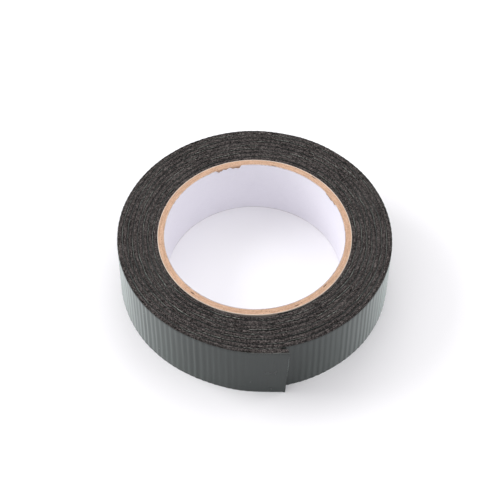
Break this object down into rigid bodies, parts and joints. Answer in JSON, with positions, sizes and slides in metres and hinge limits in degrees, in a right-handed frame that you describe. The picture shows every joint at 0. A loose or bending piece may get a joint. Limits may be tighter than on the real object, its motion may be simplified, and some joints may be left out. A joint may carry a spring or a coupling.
{
  "type": "foam tape roll",
  "caption": "Roll of double-sided black foam tape with a green release film on a wound paperboard core; its free end and the film's tip peel outwards.",
  "frame": {"origin": "on the core's axis, in the plane of the roll's lower face, on which it lies", "axes": "+Z along the core's axis, up; -Y towards the side where the tape's free end lies; +X is the way the free end points"},
  "size_m": [0.1159, 0.1173, 0.0295],
  "materials": {
    "foam": "matte",
    "release_film": "gloss",
    "adhesive": "satin",
    "kraft_board": "matte",
    "cover_paper": "matte",
    "inner_paper": "satin"
  },
  "bodies": {
    "roll": {"core_inner_paper": "inner_paper", "core_board_ply_1": "kraft_board", "core_board_ply_2": "kraft_board", "core_board_ply_3": "kraft_board", "core_board_ply_4": "kraft_board", "core_board_ply_5": "kraft_board", "core_outer_paper": "cover_paper", "adhesive_inner_web": "adhesive", "foam_web": "foam", "adhesive_outer_web": "adhesive", "release_film_web": "release_film"},
    "tail_1": {"adhesive_inner_tail_1": "adhesive", "foam_tail_1": "foam", "adhesive_outer_tail_1": "adhesive", "release_film_tail_1": "release_film"},
    "tail_2": {"adhesive_inner_tail_2": "adhesive", "foam_tail_2": "foam", "adhesive_outer_tail_2": "adhesive", "release_film_tail_2": "release_film"},
    "tail_3": {"adhesive_inner_tail_3": "adhesive", "foam_tail_3": "foam", "adhesive_outer_tail_3": "adhesive", "release_film_tail_3": "release_film"},
    "film_tab": {"release_film_tab": "release_film"}
  },
  "joints": [
    {"name": "tail_peel", "type": "hinge", "parent": "roll", "child": "tail_1", "pos_m": [-0.01845, -0.05514, 0.01475], "axis": [0, 0, -1], "range_deg": [0, 30]},
    {"name": "tail_bend_2", "type": "hinge", "parent": "tail_1", "child": "tail_2", "pos_m": [-0.01068, -0.05761, 0.01475], "axis": [0, 0, -1], "range_deg": [0, 30]},
    {"name": "tail_bend_3", "type": "hinge", "parent": "tail_2", "child": "tail_3", "pos_m": [-0.00258, -0.05906, 0.01475], "axis": [0, 0, -1], "range_deg": [0, 30]},
    {"name": "film_peel", "type": "hinge", "parent": "tail_3", "child": "film_tab", "pos_m": [0.00572, -0.0594, 0.01475], "axis": [0, 0, -1], "range_deg": [0, 110]}
  ],
  "couplings": [
    {"joint": "tail_bend_2", "follows": "tail_peel", "ratio": 1},
    {"joint": "tail_bend_3", "follows": "tail_peel", "ratio": 1}
  ]
}
